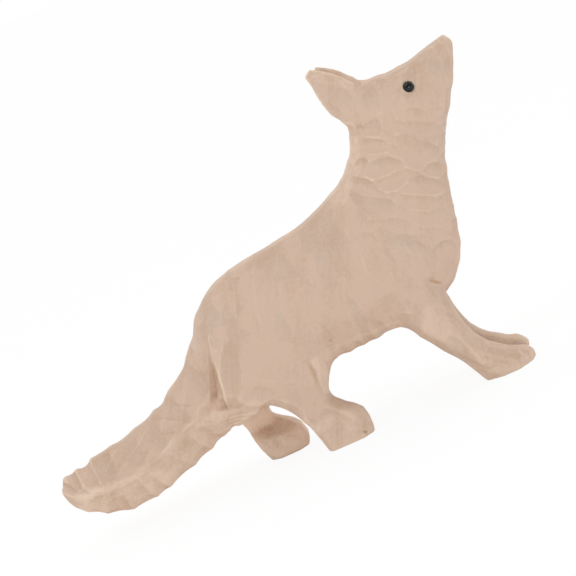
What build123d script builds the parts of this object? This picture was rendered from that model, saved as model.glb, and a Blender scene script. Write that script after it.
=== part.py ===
from build123d import *
import os
from math import cos, radians, sin

# Carved wooden fox, striding to +X with its head raised and its tail trailing.
# Millimetres, +Z up, ground at Z 0, origin on the ground under the middle of the figure.

# Trunk, from the rump to the front of the chest
TRUNK_LENGTH = 73.0
BACK_HEIGHT = 51.4
TRUNK_WIDTH = 24.8

# Neck, which rises from the chest
NECK_LENGTH = 36.0
NECK_DEPTH = 25.0
NECK_WIDTH = 20.0
NECK_SLOPE = 65.0

# Head, from the nape to the nose
HEAD_LENGTH = 29.2
HEAD_DEPTH = 20.0
HEAD_WIDTH = 18.0
HEAD_SLOPE = 30.0

# Ears, laid back; the left one is a little shorter and stands further forward
RIGHT_EAR_LENGTH = 13.8
LEFT_EAR_LENGTH = 12.0
LEFT_EAR_FORWARD = 0.6
EAR_BREADTH = 9.0
EAR_SPREAD = 17.6
EAR_SLOPE = 126.0
EAR_RIM = 1.1
EAR_HOLLOW_DEPTH = 1.2

# Tail, thick and low
TAIL_LENGTH = 51.4
TAIL_DEPTH = 17.0
TAIL_WIDTH = 17.0
TAIL_SLOPE = 19.0

# Legs: height of the joint where each pair starts, how far fore and aft it works, and the stance's width
HIP_HEIGHT = 42.8
HIND_REACH = 20.0
SHOULDER_HEIGHT = 34.8
FORE_REACH = 20.0
STANCE_WIDTH = 25.2
LEG_SLOPE = -90.0

# Three-sided chip cut between the tail and each thigh
CHIP_LENGTH = 19.4
CHIP_BREADTH = 2.4
CHIP_DEPTH = 4.0
CHIP_SLOPE = -105.5

# Glass pin eyes
EYE_DIAMETER = 3.0
EYE_SINK = 0.4
STEM_DIAMETER = 0.7
STEM_LENGTH = 4.5
STEM_GRIP = 0.6
GLUE_GAP = 0.05

# Overrun of every cutting solid past the face that it opens
OVERRUN = 3.0

# Where each limb starts: shares of the trunk's length and of the back's height,
# or of the size of the limb that carries it
HIP_ALONG_SHARE = 0.233
SHOULDER_ALONG_SHARE = 0.822
NECK_ALONG_SHARE = 0.822
NECK_RISE_SHARE = 0.697
TAIL_ALONG_SHARE = 0.055
TAIL_RISE_SHARE = 0.541
HEAD_ALONG_SHARE = 0.855
HEAD_ACROSS_SHARE = 0.48
EAR_ALONG_SHARE = 0.08
EAR_ACROSS_SHARE = 0.285
EYE_ALONG_SHARE = 0.495
EYE_ACROSS_SHARE = -0.097
CHIP_DOWN_SHARE = 0.08
CHIP_BACK_SHARE = 0.56

# Half outlines of the sections that are alike on both sides, from the low side to the high side.
# Each point: sideways as a share of half the width, then across as a share of half the depth.
TRUNK_OUTLINE_SHARES = [
    (0.30, -1.00),
    (0.72, -0.84),
    (0.95, -0.45),
    (1.00, 0.05),
    (0.93, 0.52),
    (0.66, 0.86),
    (0.27, 1.00),
]
NECK_OUTLINE_SHARES = [
    (0.32, -1.00),
    (0.74, -0.78),
    (0.97, -0.32),
    (1.00, 0.15),
    (0.88, 0.60),
    (0.58, 0.90),
    (0.25, 1.00),
]
HEAD_OUTLINE_SHARES = [
    (0.38, -1.00),
    (0.84, -0.62),
    (1.00, -0.12),
    (0.97, 0.45),
    (0.80, 0.84),
    (0.52, 1.00),
]
TAIL_OUTLINE_SHARES = [
    (0.18, -1.00),
    (0.62, -0.72),
    (0.92, -0.30),
    (1.00, 0.06),
    (0.76, 0.46),
    (0.44, 0.80),
    (0.14, 1.00),
]
EAR_OUTLINE_SHARES = [
    (0.55, -1.00),
    (1.00, -0.72),
    (1.00, 0.72),
    (0.55, 1.00),
]

# Whole outlines of the leg sections. Each point: from the inner side (-1) to the outer side (1),
# then from the rear (-1) to the front (1).
HIND_OUTLINE_SHARES = [
    (-0.60, -1.00),
    (0.75, -1.00),
    (1.00, -0.85),
    (1.00, 0.58),
    (0.55, 1.00),
    (-0.60, 1.00),
    (-1.00, 0.50),
    (-1.00, -0.50),
]
FORE_OUTLINE_SHARES = [
    (-0.60, -1.00),
    (0.50, -1.00),
    (1.00, -0.45),
    (1.00, 0.26),
    (0.32, 0.84),
    (-0.45, 1.00),
    (-0.85, 0.92),
    (-1.00, 0.45),
    (-1.00, -0.60),
]

# Sections of the trunk, neck, head and tail. Each row: place along the axis,
# low side and high side as shares of the depth, then half the breadth as a share of half the width.
TRUNK_SHARES = [
    (0.000, 0.340, 0.715, 0.55),
    (0.041, 0.330, 0.817, 0.70),
    (0.096, 0.330, 0.893, 0.86),
    (0.164, 0.340, 0.947, 0.96),
    (0.260, 0.356, 0.980, 1.00),
    (0.384, 0.376, 0.998, 0.98),
    (0.507, 0.377, 1.025, 0.96),
    (0.603, 0.383, 1.074, 0.94),
    (0.700, 0.392, 1.145, 0.92),
    (0.767, 0.405, 1.120, 0.90),
    (0.850, 0.438, 0.980, 0.84),
    (0.910, 0.485, 0.910, 0.70),
    (0.955, 0.560, 0.830, 0.50),
    (0.990, 0.650, 0.760, 0.25),
]
NECK_SHARES = [
    (-0.17, -0.400, 0.400, 0.60),
    (-0.05, -0.462, 0.560, 0.85),
    (0.09, -0.468, 0.680, 1.02),
    (0.23, -0.432, 0.742, 1.06),
    (0.42, -0.368, 0.738, 1.02),
    (0.53, -0.336, 0.685, 0.97),
    (0.68, -0.302, 0.630, 0.92),
    (0.82, -0.304, 0.636, 0.88),
    (0.95, -0.308, 0.480, 0.82),
    (1.03, -0.280, 0.240, 0.60),
]
HEAD_SHARES = [
    (-0.10, -0.150, 0.150, 0.50),
    (0.00, -0.450, 0.325, 0.80),
    (0.14, -0.660, 0.390, 0.95),
    (0.29, -0.770, 0.345, 1.00),
    (0.38, -0.768, 0.245, 0.99),
    (0.465, -0.742, 0.165, 0.93),
    (0.62, -0.622, 0.055, 0.74),
    (0.76, -0.510, -0.012, 0.58),
    (0.865, -0.405, -0.055, 0.46),
    (0.945, -0.305, -0.085, 0.36),
    (1.00, -0.235, -0.110, 0.26),
]
TAIL_SHARES = [
    (-0.08, -0.500, 0.600, 0.70),
    (0.00, -0.740, 0.640, 0.78),
    (0.12, -0.745, 0.425, 0.88),
    (0.235, -0.745, 0.325, 0.93),
    (0.33, -0.768, 0.252, 0.96),
    (0.43, -0.764, 0.227, 0.98),
    (0.53, -0.764, 0.240, 1.00),
    (0.64, -0.745, 0.267, 1.00),
    (0.735, -0.692, 0.342, 0.96),
    (0.82, -0.605, 0.365, 0.88),
    (0.90, -0.435, 0.405, 0.72),
    (0.965, -0.235, 0.385, 0.50),
    (1.000, -0.030, 0.255, 0.25),
]

# Sections of the left legs. Each row: place down from the joint as a share of its height,
# rear side and front side as shares of the reach, then inner side and outer side as shares of half the stance.
THIGH_SHARES = [
    (0.012, -0.350, -0.050, 0.40, 0.76),
    (0.093, -0.565, 0.200, 0.32, 0.88),
    (0.257, -0.660, 0.500, 0.28, 0.955),
    (0.397, -0.740, 0.675, 0.28, 0.98),
    (0.497, -0.800, 0.775, 0.28, 1.00),
]
FORWARD_SHANK_SHARES = [
    (0.552, -0.520, 0.650, 0.28, 1.00),
    (0.598, -0.275, 0.580, 0.29, 0.99),
    (0.640, -0.160, 0.525, 0.30, 0.98),
    (0.685, -0.075, 0.495, 0.32, 0.97),
    (0.731, 0.000, 0.505, 0.33, 0.97),
    (0.776, 0.063, 0.600, 0.33, 0.975),
    (0.813, 0.110, 0.725, 0.33, 0.99),
    (0.864, 0.150, 0.800, 0.33, 1.00),
    (0.918, 0.178, 0.820, 0.33, 1.00),
    (1.000, 0.218, 0.820, 0.33, 1.00),
]
TRAILING_SHANK_SHARES = [
    (0.570, -0.825, 0.350, 0.30, 0.99),
    (0.626, -0.820, 0.000, 0.36, 0.98),
    (0.673, -0.810, -0.290, 0.42, 0.97),
    (0.710, -0.785, -0.345, 0.48, 0.97),
    (0.748, -0.740, -0.360, 0.52, 0.97),
    (0.783, -0.715, -0.325, 0.52, 0.975),
    (0.813, -0.700, -0.230, 0.48, 0.98),
    (0.845, -0.682, -0.125, 0.20, 0.99),
    (0.883, -0.655, -0.060, 0.16, 1.00),
    (0.942, -0.615, -0.025, 0.15, 1.00),
    (1.000, -0.570, -0.050, 0.15, 1.00),
]
FORE_LEG_SHARES = [
    (0.030, -0.400, 0.200, 0.24, 0.76),
    (0.195, -0.500, 0.175, 0.24, 0.88),
    (0.310, -0.550, 0.165, 0.24, 0.94),
    (0.391, -0.515, 0.180, 0.25, 0.96),
    (0.483, -0.375, 0.198, 0.26, 0.97),
    (0.583, -0.245, 0.238, 0.28, 0.98),
    (0.684, -0.130, 0.305, 0.30, 0.98),
    (0.761, -0.025, 0.400, 0.31, 0.98),
    (0.813, 0.040, 0.512, 0.32, 0.985),
    (0.856, 0.080, 0.618, 0.32, 0.99),
    (0.887, 0.107, 0.715, 0.32, 0.99),
    (0.914, 0.132, 0.830, 0.32, 0.99),
    (0.957, 0.170, 0.880, 0.32, 1.00),
    (1.000, 0.215, 0.872, 0.32, 1.00),
]

# Sections of a left ear. Each row: place up from the base as a share of its length,
# rear side and front side as shares of the breadth, then inner side and outer side as shares of half the spread.
EAR_SHARES = [
    (-0.25, -0.540, 0.560, 0.17, 1.00),
    (0.04, -0.530, 0.600, 0.25, 0.95),
    (0.22, -0.475, 0.580, 0.34, 0.90),
    (0.44, -0.355, 0.550, 0.43, 0.86),
    (0.66, -0.190, 0.485, 0.49, 0.83),
    (0.84, -0.020, 0.395, 0.55, 0.80),
    (1.00, 0.080, 0.290, 0.60, 0.74),
]


def direction(slope):
    """Unit vector in the side view, turned up from +X by slope degrees."""
    return Vector(cos(radians(slope)), 0, sin(radians(slope)))


def place(root, slope, along, across):
    """Point at a distance along an axis of that slope, and a distance across it."""
    return root + direction(slope) * along + direction(slope + 90) * across


def both_sides(half_outline):
    """Whole outline from its half on one side."""
    return half_outline + [(-side, rise) for side, rise in reversed(half_outline)]


def between(low, high, share):
    """Value at a share that runs from -1 at low to 1 at high."""
    return low + (high - low) * (1 + share) / 2


def limb(root, slope, size, outline, rows):
    """Solid with flat cuts from section to section, each square to the limb's axis.

    size is length, depth and width; a row is along, low, high, right and left, in shares of them.
    """
    length, depth, width = size
    sections = []
    for along, low, high, right, left in rows:
        points = []
        for side, rise in outline:
            centre = place(root, slope, along * length, between(low, high, rise) * depth)
            points.append(centre + Vector(0, between(right, left, side) * width / 2, 0))
        sections.append(Wire.make_polygon(points, close=True))
    return Solid.make_loft(sections, ruled=True)


def even(rows):
    """Rows of a limb that is alike on both sides."""
    return [(along, low, high, -half, half) for along, low, high, half in rows]


def on_right(solid):
    """The same solid on the fox's right side."""
    return solid.mirror(Plane.XZ)


# Roots of the limbs, from the rump at X 0 in the middle plane
rump = Vector(0, 0, 0)
hip = Vector(HIP_ALONG_SHARE * TRUNK_LENGTH, 0, HIP_HEIGHT)
shoulder = Vector(SHOULDER_ALONG_SHARE * TRUNK_LENGTH, 0, SHOULDER_HEIGHT)
neck_root = Vector(NECK_ALONG_SHARE * TRUNK_LENGTH, 0, NECK_RISE_SHARE * BACK_HEIGHT)
tail_root = Vector(TAIL_ALONG_SHARE * TRUNK_LENGTH, 0, TAIL_RISE_SHARE * BACK_HEIGHT)
head_root = place(neck_root, NECK_SLOPE, HEAD_ALONG_SHARE * NECK_LENGTH, HEAD_ACROSS_SHARE * NECK_DEPTH)
ear_root = place(head_root, HEAD_SLOPE, EAR_ALONG_SHARE * HEAD_LENGTH, EAR_ACROSS_SHARE * HEAD_DEPTH)


def trunk():
    size = (TRUNK_LENGTH, BACK_HEIGHT, TRUNK_WIDTH)
    return limb(rump, 0, size, both_sides(TRUNK_OUTLINE_SHARES), even(TRUNK_SHARES))


def neck():
    size = (NECK_LENGTH, NECK_DEPTH, NECK_WIDTH)
    return limb(neck_root, NECK_SLOPE, size, both_sides(NECK_OUTLINE_SHARES), even(NECK_SHARES))


def head():
    size = (HEAD_LENGTH, HEAD_DEPTH, HEAD_WIDTH)
    return limb(head_root, HEAD_SLOPE, size, both_sides(HEAD_OUTLINE_SHARES), even(HEAD_SHARES))


def tail():
    """Tail, whose axis runs back from its root."""
    size = (-TAIL_LENGTH, TAIL_DEPTH, TAIL_WIDTH)
    return limb(tail_root, TAIL_SLOPE, size, both_sides(TAIL_OUTLINE_SHARES), even(TAIL_SHARES))


def ear_side(length, forward, rows):
    """Solid in the place of a left ear; across an ear's axis, the front is the low side."""
    root = place(ear_root, EAR_SLOPE, 0, -forward)
    size = (length, EAR_BREADTH, EAR_SPREAD)
    turned = [(along, -front, -rear, inner, outer) for along, rear, front, inner, outer in rows]
    return limb(root, EAR_SLOPE, size, both_sides(EAR_OUTLINE_SHARES), turned)


def ear(length, forward):
    """Left ear with its outer face hollowed, which leaves a rim and runs out at the tip."""
    rim = EAR_RIM / EAR_BREADTH
    depth = EAR_HOLLOW_DEPTH / (EAR_SPREAD / 2)
    overrun = OVERRUN / (EAR_SPREAD / 2)
    hollow = []
    for along, rear, front, inner, outer in EAR_SHARES[1:-1]:
        floor = outer - depth * (1 - along)
        hollow.append((along, rear + rim, front - rim, floor, outer + overrun))
    return ear_side(length, forward, EAR_SHARES) - ear_side(length, forward, hollow)


def leg(joint, height, reach, outline, rows):
    """Left leg, from its joint down to a flat sole on the ground."""
    return limb(joint, LEG_SLOPE, (height, reach, STANCE_WIDTH), outline, rows)


def chip():
    """Tool of the chip cut behind the left thigh: a three-sided point that opens outwards."""
    apex = hip + Vector(-CHIP_BACK_SHARE * HIND_REACH, 0, -CHIP_DOWN_SHARE * HIP_HEIGHT)
    outside = Vector(0, STANCE_WIDTH / 2, 0)
    corners = [
        place(apex, CHIP_SLOPE, 0, 0),
        place(apex, CHIP_SLOPE, CHIP_LENGTH, -CHIP_BREADTH),
        place(apex, CHIP_SLOPE, CHIP_LENGTH, 0),
    ]
    deep = corners[2] + outside - Vector(0, CHIP_DEPTH, 0)
    grown = 1 + OVERRUN / CHIP_DEPTH
    mouth = [deep + (corner + outside - deep) * grown for corner in corners]
    return Solid.make_loft([Vertex(deep), Wire.make_polygon(mouth, close=True)], ruled=True)


def carved_figure():
    """The whole figure, as it is cut from one block."""
    forward_rows = THIGH_SHARES + FORWARD_SHANK_SHARES
    trailing_rows = THIGH_SHARES + TRAILING_SHANK_SHARES
    forward_leg = leg(hip, HIP_HEIGHT, HIND_REACH, HIND_OUTLINE_SHARES, forward_rows)
    trailing_leg = leg(hip, HIP_HEIGHT, HIND_REACH, HIND_OUTLINE_SHARES, trailing_rows)
    fore_leg = leg(shoulder, SHOULDER_HEIGHT, FORE_REACH, FORE_OUTLINE_SHARES, FORE_LEG_SHARES)
    block = trunk().fuse(
        neck(),
        head(),
        tail(),
        ear(LEFT_EAR_LENGTH, LEFT_EAR_FORWARD),
        on_right(ear(RIGHT_EAR_LENGTH, 0)),
        trailing_leg,
        on_right(forward_leg),
        fore_leg,
        on_right(fore_leg),
    )
    return block - chip() - on_right(chip())


def eye_on_left(figure):
    """Centre of the left bead and the way out of its socket, where a line across the head leaves the wood."""
    middle = place(head_root, HEAD_SLOPE, EYE_ALONG_SHARE * HEAD_LENGTH, EYE_ACROSS_SHARE * HEAD_DEPTH)
    hits = figure.find_intersection_points(Axis(middle, (0, 1, 0)))
    point, normal = max(hits, key=lambda hit: hit[0].Y)
    outward = normal if normal.Y > 0 else -normal
    return point - outward * EYE_SINK, outward


def rod(start, way, radius, length):
    """Cylinder from a point along a direction."""
    return Solid.make_cylinder(radius, length, Plane(origin=start, z_dir=way))


def ball(centre, radius):
    return Solid.make_sphere(radius, Plane(origin=centre), -90, 90, 360)


def eye_parts(centre, outward):
    """Socket, bead and stem of the left eye."""
    radius = EYE_DIAMETER / 2
    seat = radius + GLUE_GAP
    stem_start = centre - outward * (radius - STEM_GRIP)
    bead = ball(centre, radius) - rod(stem_start, -outward, STEM_DIAMETER / 2, STEM_GRIP + OVERRUN)
    stem = rod(stem_start, -outward, STEM_DIAMETER / 2, STEM_LENGTH)
    bore = rod(stem_start, -outward, STEM_DIAMETER / 2 + GLUE_GAP, STEM_LENGTH + GLUE_GAP)
    socket = ball(centre, seat).fuse(rod(centre, outward, seat, OVERRUN), bore)
    return socket, bead, stem


figure = carved_figure()
socket, bead, stem = eye_parts(*eye_on_left(figure))
figure = figure - socket - on_right(socket)
box = figure.bounding_box()
to_origin = Pos(-box.center().X, -box.center().Y, -box.min.Z)

nodes = {
    "carved_fox": figure,
    "right_eye_bead": on_right(bead),
    "left_eye_bead": bead,
    "right_eye_stem": on_right(stem),
    "left_eye_stem": stem,
}
os.makedirs("parts", exist_ok=True)
for name, shape in nodes.items():
    placed = to_origin * shape
    placed.label = name
    export_step(placed, f"parts/{name}.step")
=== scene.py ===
import math

import bpy
import bmesh
import numpy as np
from mathutils import Matrix, Vector
from mathutils.bvhtree import BVHTree


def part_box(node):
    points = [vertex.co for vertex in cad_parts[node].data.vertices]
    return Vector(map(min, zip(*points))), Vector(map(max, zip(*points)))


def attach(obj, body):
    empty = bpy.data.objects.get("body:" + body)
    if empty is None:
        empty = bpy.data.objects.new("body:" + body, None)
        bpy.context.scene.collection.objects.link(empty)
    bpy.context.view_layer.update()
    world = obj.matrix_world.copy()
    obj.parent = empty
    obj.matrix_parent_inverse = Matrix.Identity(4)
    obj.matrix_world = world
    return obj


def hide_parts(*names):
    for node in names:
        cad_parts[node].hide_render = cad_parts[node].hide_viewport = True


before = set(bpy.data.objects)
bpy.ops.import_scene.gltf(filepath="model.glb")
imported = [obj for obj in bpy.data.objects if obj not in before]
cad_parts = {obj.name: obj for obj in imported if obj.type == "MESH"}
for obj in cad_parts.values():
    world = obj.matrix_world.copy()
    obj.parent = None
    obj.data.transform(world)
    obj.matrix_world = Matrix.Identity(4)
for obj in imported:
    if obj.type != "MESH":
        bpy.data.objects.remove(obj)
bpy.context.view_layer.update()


# Camera. The photograph looks at the fox's right side from a little above, and is turned
# so that the ground rises to the right. Sizes are in millimetres, which MM turns to metres.
MM = 0.001
VIEW_AZIMUTH = 4.0
VIEW_ELEVATION = 10.0
VIEW_ROLL = 24.85
VIEW_CENTRE = Vector((6.08, 0.0, 39.93)) * MM
VIEW_DISTANCE = 520 * MM
SENSOR_WIDTH = 36.0
FOCAL_LENGTH = 130.0


def view_axes(azimuth, elevation, roll):
    """Right, up and backward directions of a camera that looks at the centre."""
    azimuth, elevation, roll = (math.radians(angle) for angle in (azimuth, elevation, roll))
    back = Vector((
        math.sin(azimuth) * math.cos(elevation),
        -math.cos(azimuth) * math.cos(elevation),
        math.sin(elevation),
    ))
    level = Vector((math.cos(azimuth), math.sin(azimuth), 0))
    upright = back.cross(level)
    right = level * math.cos(roll) - upright * math.sin(roll)
    up = level * math.sin(roll) + upright * math.cos(roll)
    return right, up, back


view_right, view_up, view_back = view_axes(VIEW_AZIMUTH, VIEW_ELEVATION, VIEW_ROLL)
camera_data = bpy.data.cameras.new("photo_camera")
camera_data.sensor_width = SENSOR_WIDTH
camera_data.lens = FOCAL_LENGTH
camera_data.clip_start = 10 * MM
camera_data.clip_end = 100.0
camera = bpy.data.objects.new("photo_camera", camera_data)
bpy.context.scene.collection.objects.link(camera)
turn = Matrix((view_right, view_up, view_back)).transposed().to_4x4()
camera.matrix_world = Matrix.Translation(VIEW_CENTRE + view_back * VIEW_DISTANCE) @ turn
bpy.context.scene.camera = camera


# Carved figure. One block of linden, sawn to outline, rounded with a knife and gone over with
# small gouges, then left bare. First an even mesh of the block, softened where limbs run into
# the trunk and left crisp where the knife stopped. Side-view places are (x, z) in millimetres.
BLOCK_VOXEL = 0.36
SOFTENING_STEPS = 20
JOINT_STEPS = 300
STEP_STRENGTH = 0.5
LEAST_STRENGTH = 0.001
INNER_REACH = 0.6
OUTER_REACH = 1.2
# Wood left on for the gouges to take off.
ALLOWANCE = 0.25
# Crisp places: both ends of a line in the side view, its reach, and the share of the softening
# that is left there. Joints of limb and trunk: both ends of a line and its reach.
CRISP_PLACES = [
    ((31.0, 86.0), (37.0, 78.0), 5.5, 0.10),
    ((62.0, 82.0), (68.0, 84.0), 4.5, 0.20),
    ((48.0, 77.0), (64.0, 80.0), 4.0, 0.50),
    ((40.0, 3.0), (56.0, 2.0), 5.5, 0.12),
    ((0.0, 3.0), (11.0, 3.0), 5.5, 0.15),
    ((-17.0, 4.0), (-6.0, 4.0), 6.0, 0.25),
    ((-17.0, 37.0), (-20.5, 23.0), 2.2, 0.10),
]
JOINTS = [
    ((-25.0, 18.0), (-19.0, 19.0), 4.0),
    ((-21.0, 14.5), (-17.5, 14.5), 3.0),
    ((9.5, 22.0), (12.0, 24.0), 3.4),
    ((26.0, 22.0), (29.5, 20.5), 3.4),
    ((39.5, 71.0), (43.0, 77.0), 3.2),
    ((-9.0, 15.0), (-6.0, 12.0), 3.0),
]
# The ears' outer faces are pared flat: a line along each in the side view and its reach, and how
# squarely wood looks sideways, from where the paring starts to where it is full.
EAR_FACE = ((35.0, 83.0), (39.5, 76.0), 4.6)
PARING_STEPS = 400
PARED_FACING = (0.35, 0.7)
# The web of wood between hip and tail: corners (x, half width, z) on each side.
HIP_WEB = [
    (-27.0, 7.0, 18.8), (-27.0, 4.5, 13.8), (-21.5, 4.8, 14.8), (-17.0, 5.5, 13.0),
    (-11.0, 12.3, 20.4), (-11.0, 12.0, 18.8), (-11.0, 9.5, 17.6),
]


def evaluated_mesh(piece, name):
    """The mesh of an object with its modifiers applied."""
    graph = bpy.context.evaluated_depsgraph_get()
    mesh = bpy.data.meshes.new_from_object(piece.evaluated_get(graph))
    mesh.name = name
    return mesh


def even_copy(source, name, voxel, web):
    """A copy of a solid, with a web of wood added, as a mesh of even squares."""
    block = bmesh.new()
    block.from_mesh(source.data)
    corners = [block.verts.new(Vector((x, side * y, z)) * MM) for x, y, z in web for side in (-1, 1)]
    bmesh.ops.convex_hull(block, input=corners)
    joined = bpy.data.meshes.new(name)
    block.to_mesh(joined)
    block.free()
    piece = bpy.data.objects.new(name, joined)
    bpy.context.scene.collection.objects.link(piece)
    remesh = piece.modifiers.new("even_mesh", "REMESH")
    remesh.mode = "VOXEL"
    remesh.voxel_size = voxel * MM
    mesh = evaluated_mesh(piece, name)
    piece.modifiers.clear()
    piece.data = mesh
    return piece


def read_points(mesh):
    """A mesh's points in millimetres."""
    points = np.empty(len(mesh.vertices) * 3)
    mesh.vertices.foreach_get("co", points)
    return points.reshape(-1, 3) / MM


def write_points(mesh, points):
    """Puts a mesh's points at places in millimetres."""
    mesh.vertices.foreach_set("co", (points * MM).ravel())
    mesh.update()


def point_normals(mesh):
    """The direction in which the surface looks at each point."""
    normals = np.empty(len(mesh.vertices) * 3)
    mesh.vertices.foreach_get("normal", normals)
    return normals.reshape(-1, 3)


def read_edges(mesh):
    """The two points of each edge, by number."""
    edges = np.empty(len(mesh.edges) * 2, dtype=np.int64)
    mesh.edges.foreach_get("vertices", edges)
    return edges.reshape(-1, 2)


def fade(values, start, end):
    """0 at start, 1 at end, smooth between."""
    share = np.clip((values - start) / (end - start), 0, 1)
    return share * share * (3 - 2 * share)


def softened(values, edges, steps, strength):
    """Values drawn step by step towards their neighbours' mean, by a strength for each point."""
    moving = strength > LEAST_STRENGTH
    edges = edges[moving[edges].any(1)]
    used, short = np.unique(edges, return_inverse=True)
    first, second = short.reshape(-1, 2).T
    total = len(used)
    counts = np.bincount(short.ravel(), minlength=total)
    pull = (np.where(moving, strength, 0)[used] / counts)[:, None]
    part = values[used]
    for _ in range(steps):
        sums = [
            np.bincount(first, column[second], total) + np.bincount(second, column[first], total)
            for column in part.T
        ]
        part = part + pull * (np.stack(sums, axis=1) - counts[:, None] * part)
    values = values.copy()
    values[used] = part
    return values


def line_distance(places, start, end):
    """Distance of places from the straight line between two of them."""
    line = np.subtract(end, start)
    share = np.clip((places - start) @ line / (line @ line), 0, 1)
    return np.linalg.norm(places - start - share[:, None] * line, axis=1)


def softening(points):
    """How far the knife rounded the wood at each point."""
    amount = np.ones(len(points))
    for start, end, reach, left in CRISP_PLACES:
        distance = line_distance(points[:, [0, 2]], start, end)
        beyond = fade(distance, reach * INNER_REACH, reach * OUTER_REACH)
        amount = np.minimum(amount, left + (1 - left) * beyond)
    return amount


def near_lines(points, lines):
    """1 close to any of the lines in the side view, 0 beyond their reach."""
    amount = np.zeros(len(points))
    for start, end, reach in lines:
        distance = line_distance(points[:, [0, 2]], start, end)
        amount = np.maximum(amount, fade(distance, reach * OUTER_REACH, reach * INNER_REACH))
    return amount


fox = even_copy(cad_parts["carved_fox"], "carved_linden_fox", BLOCK_VOXEL, HIP_WEB)
edges = read_edges(fox.data)
points = read_points(fox.data)
points = softened(points, edges, SOFTENING_STEPS, STEP_STRENGTH * softening(points))
points = softened(points, edges, JOINT_STEPS, STEP_STRENGTH * near_lines(points, JOINTS))
write_points(fox.data, points)
pared = near_lines(points, [EAR_FACE]) * fade(np.abs(point_normals(fox.data)[:, 1]), *PARED_FACING)
points[:, 1:2] = softened(points[:, 1:2], edges, PARING_STEPS, STEP_STRENGTH * pared)
write_points(fox.data, points)
points += point_normals(fox.data) * ALLOWANCE
write_points(fox.data, points)

# Lines that the knife left between broad planes: places along each in the side view, its
# height, the width of the slopes beside it, and the sides of the figure that have it.
NEAR = -1
FAR = 1
BOTH = (NEAR, FAR)
RIDGES = [
    ([(-24.5, 21), (-28, 20.5), (-31.5, 19.5), (-36.5, 17.5), (-40.5, 15.5), (-44, 15), (-48, 15),
      (-52.5, 15.5), (-57, 15.5), (-61.5, 16), (-65.5, 17)],
     0.52, 5.0, BOTH),
    ([(-11, 25.5), (-13.5, 23), (-17.5, 21.5)], 0.30, 2.5, BOTH),
    ([(-11, 25.5), (-7, 23), (-3.5, 21), (0.5, 18.5), (3, 17)], 0.32, 2.6, BOTH),
    ([(37.5, 68), (42.5, 65.5), (46, 64)], 0.45, 2.4, BOTH),
    ([(33.7, 86.4), (35.4, 85.7), (37.2, 84.5), (38.8, 83), (40.1, 81.5), (41.3, 80.4)], 0.20, 1.2, BOTH),
    ([(43.3, 79), (41.4, 75), (42, 71.5)], 0.14, 1.3, BOTH),
    ([(42, 71.5), (45, 71.5), (49, 73.5), (50.5, 75.5)], 0.18, 1.4, BOTH),
    ([(49, 71.5), (46, 64.5)], 0.14, 1.3, BOTH),
    ([(45, 71), (43, 66)], 0.14, 1.3, BOTH),
    ([(37.5, 69), (35.5, 65), (34.5, 62), (32, 59.5), (28.5, 57)], 0.30, 2.0, BOTH),
    ([(65.5, 77.5), (63, 73), (60.5, 68.5), (58, 64.5), (56, 61.5)], 0.18, 1.8, BOTH),
    ([(47, 78.5), (50.5, 78), (54, 78), (58, 79), (62, 80), (65.5, 81)], 0.25, 1.5, BOTH),
    ([(40, 10), (43.5, 5.5), (46, 2.5)], 0.18, 2.0, BOTH),
    ([(6, 16), (3.5, 11), (6.5, 8), (8, 5.5), (7, 3), (8, 1)], 0.28, 1.8, (NEAR,)),
    ([(-9, 5), (-12.5, 1)], 0.35, 2.0, (NEAR,)),
    ([(21.5, 31), (22, 27), (24, 23.5)], 0.16, 1.6, (NEAR,)),
]
# The share of its height that a line has at its ends, and the length over which it falls to that.
END_HEIGHT = 0.3
END_LENGTH = 2.5

# Cracks, nicks and scores, told in the same way, with their depth in place of the height.
CREASES = [
    ([(8.5, 31.5), (9.5, 27.5)], 0.12, 0.5, (NEAR,)),
    ([(10, 31.5), (11, 28)], 0.12, 0.5, (NEAR,)),
    ([(43.6, 80.2), (43.2, 79.4), (42.8, 78.4)], 0.22, 0.45, (NEAR,)),
    ([(39.1, 74.0), (38.4, 72.4)], 0.16, 0.4, (NEAR,)),
    ([(39.7, 73.8), (38.9, 72.2)], 0.16, 0.4, (NEAR,)),
    ([(40.3, 73.6), (39.6, 72.1)], 0.14, 0.4, (NEAR,)),
    ([(-34.2, 26.0), (-29.2, 24.5), (-27.0, 23.5)], 0.07, 0.5, BOTH),
    ([(-38.5, 24.0), (-33.5, 22.5), (-29.5, 20.5)], 0.07, 0.5, BOTH),
    ([(-38.0, 20.5), (-32.5, 19.0)], 0.07, 0.5, BOTH),
    ([(-43.5, 20.5), (-40.0, 19.5)], 0.07, 0.5, BOTH),
    ([(-45.8, 18.7), (-42.2, 17.3)], 0.07, 0.5, BOTH),
    ([(-23.5, 14.5), (-21.0, 15.8), (-18.5, 15.6), (-16.5, 15.0)], 0.08, 0.5, BOTH),
    ([(-23.0, 15.5), (-20.5, 16.8), (-18.0, 16.6), (-15.5, 16.0)], 0.08, 0.5, BOTH),
    ([(-22.0, 16.6), (-20.0, 17.8), (-17.0, 17.6), (-14.0, 16.8)], 0.07, 0.5, BOTH),
    ([(39.3, 28.6), (41.3, 26.8)], 0.55, 0.5, (NEAR,)),
    ([(3.6, 23.4), (4.0, 20.5), (3.8, 18.0), (3.4, 16.0)], 0.22, 1.0, (NEAR,)),
]

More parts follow.
